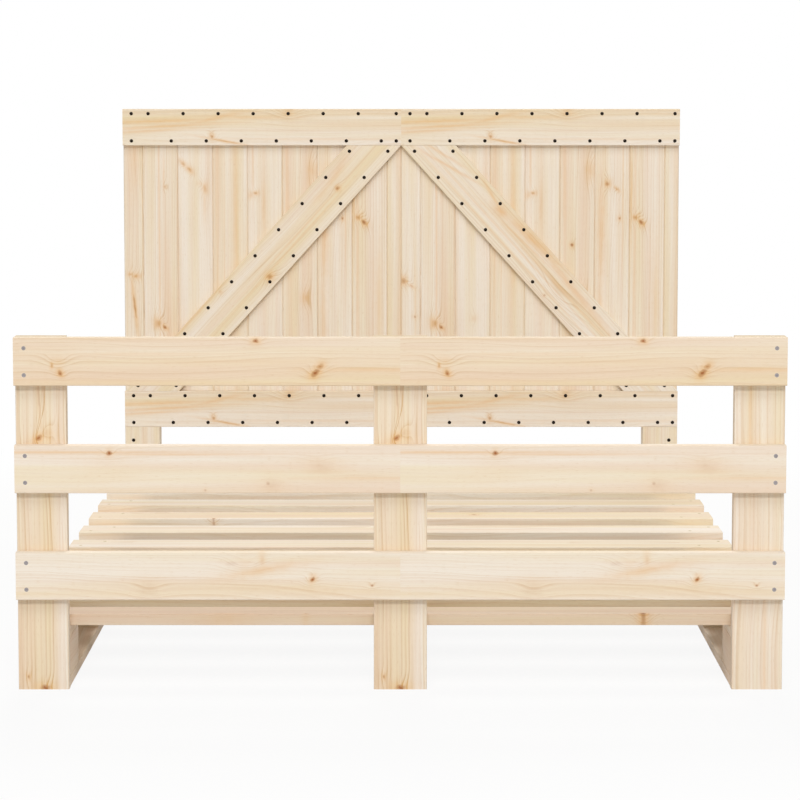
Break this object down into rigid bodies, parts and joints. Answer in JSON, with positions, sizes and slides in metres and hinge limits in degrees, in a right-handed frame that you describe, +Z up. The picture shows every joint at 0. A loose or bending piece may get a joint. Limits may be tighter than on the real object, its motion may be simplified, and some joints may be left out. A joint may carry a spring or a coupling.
{
  "type": "bed frame",
  "caption": "Pine double bed frame: railed footboard, pallet-like slatted base and boarded headboard with diagonal braces.",
  "frame": {"origin": "middle of the bed's footprint, at floor level", "axes": "+Z up, +Y from the footboard to the headboard, +X to the right seen from the foot"},
  "size_m": [1.455, 2.109, 1.08],
  "materials": {
    "pine_foot_rails": "planed, untreated",
    "pine_foot_posts": "planed, untreated",
    "pine_base": "planed, untreated",
    "pine_slats": "planed, untreated",
    "pine_head_rails": "planed, untreated",
    "pine_boards": "planed, untreated",
    "pine_legs": "planed, untreated",
    "black_nails": "satin black",
    "zinc_screws": "zinc plated",
    "yellow_screws": "yellow zinc plated",
    "steel_bolts": "zinc plated"
  },
  "bodies": {
    "root": {"base_blocks": "pine_base", "base_screws": "yellow_screws", "face_nails": "black_nails", "foot_post_centre": "pine_foot_posts", "foot_post_left": "pine_foot_posts", "foot_post_right": "pine_foot_posts", "foot_rail_lower_left": "pine_foot_rails", "foot_rail_lower_right": "pine_foot_rails", "foot_rail_middle_left": "pine_foot_rails", "foot_rail_middle_right": "pine_foot_rails", "foot_rail_screws": "zinc_screws", "foot_rail_top_left": "pine_foot_rails", "foot_rail_top_right": "pine_foot_rails", "frame_bolts": "steel_bolts", "head_board_left_1": "pine_boards", "head_board_left_2": "pine_boards", "head_board_left_3": "pine_boards", "head_board_left_4": "pine_boards", "head_board_left_5": "pine_boards", "head_board_left_6": "pine_boards", "head_board_left_7": "pine_boards", "head_board_left_8": "pine_boards", "head_board_left_9": "pine_boards", "head_board_right_1": "pine_boards", "head_board_right_2": "pine_boards", "head_board_right_3": "pine_boards", "head_board_right_4": "pine_boards", "head_board_right_5": "pine_boards", "head_board_right_6": "pine_boards", "head_board_right_7": "pine_boards", "head_board_right_8": "pine_boards", "head_board_right_9": "pine_boards", "head_brace_left": "pine_head_rails", "head_brace_right": "pine_head_rails", "head_rail_lower_left": "pine_head_rails", "head_rail_lower_right": "pine_head_rails", "head_rail_top_left": "pine_head_rails", "head_rail_top_right": "pine_head_rails", "leg_faces": "pine_legs", "leg_post_centre": "pine_legs", "leg_post_left": "pine_legs", "leg_post_right": "pine_legs", "leg_screws": "yellow_screws", "runner_centre": "pine_base", "runner_left": "pine_base", "runner_right": "pine_base", "slat_01": "pine_slats", "slat_02": "pine_slats", "slat_03": "pine_slats", "slat_04": "pine_slats", "slat_05": "pine_slats", "slat_06": "pine_slats", "slat_07": "pine_slats", "slat_08": "pine_slats", "slat_09": "pine_slats", "slat_10": "pine_slats", "slat_11": "pine_slats", "stringer_centre": "pine_base", "stringer_left": "pine_base", "stringer_right": "pine_base"}
  },
  "joints": []
}
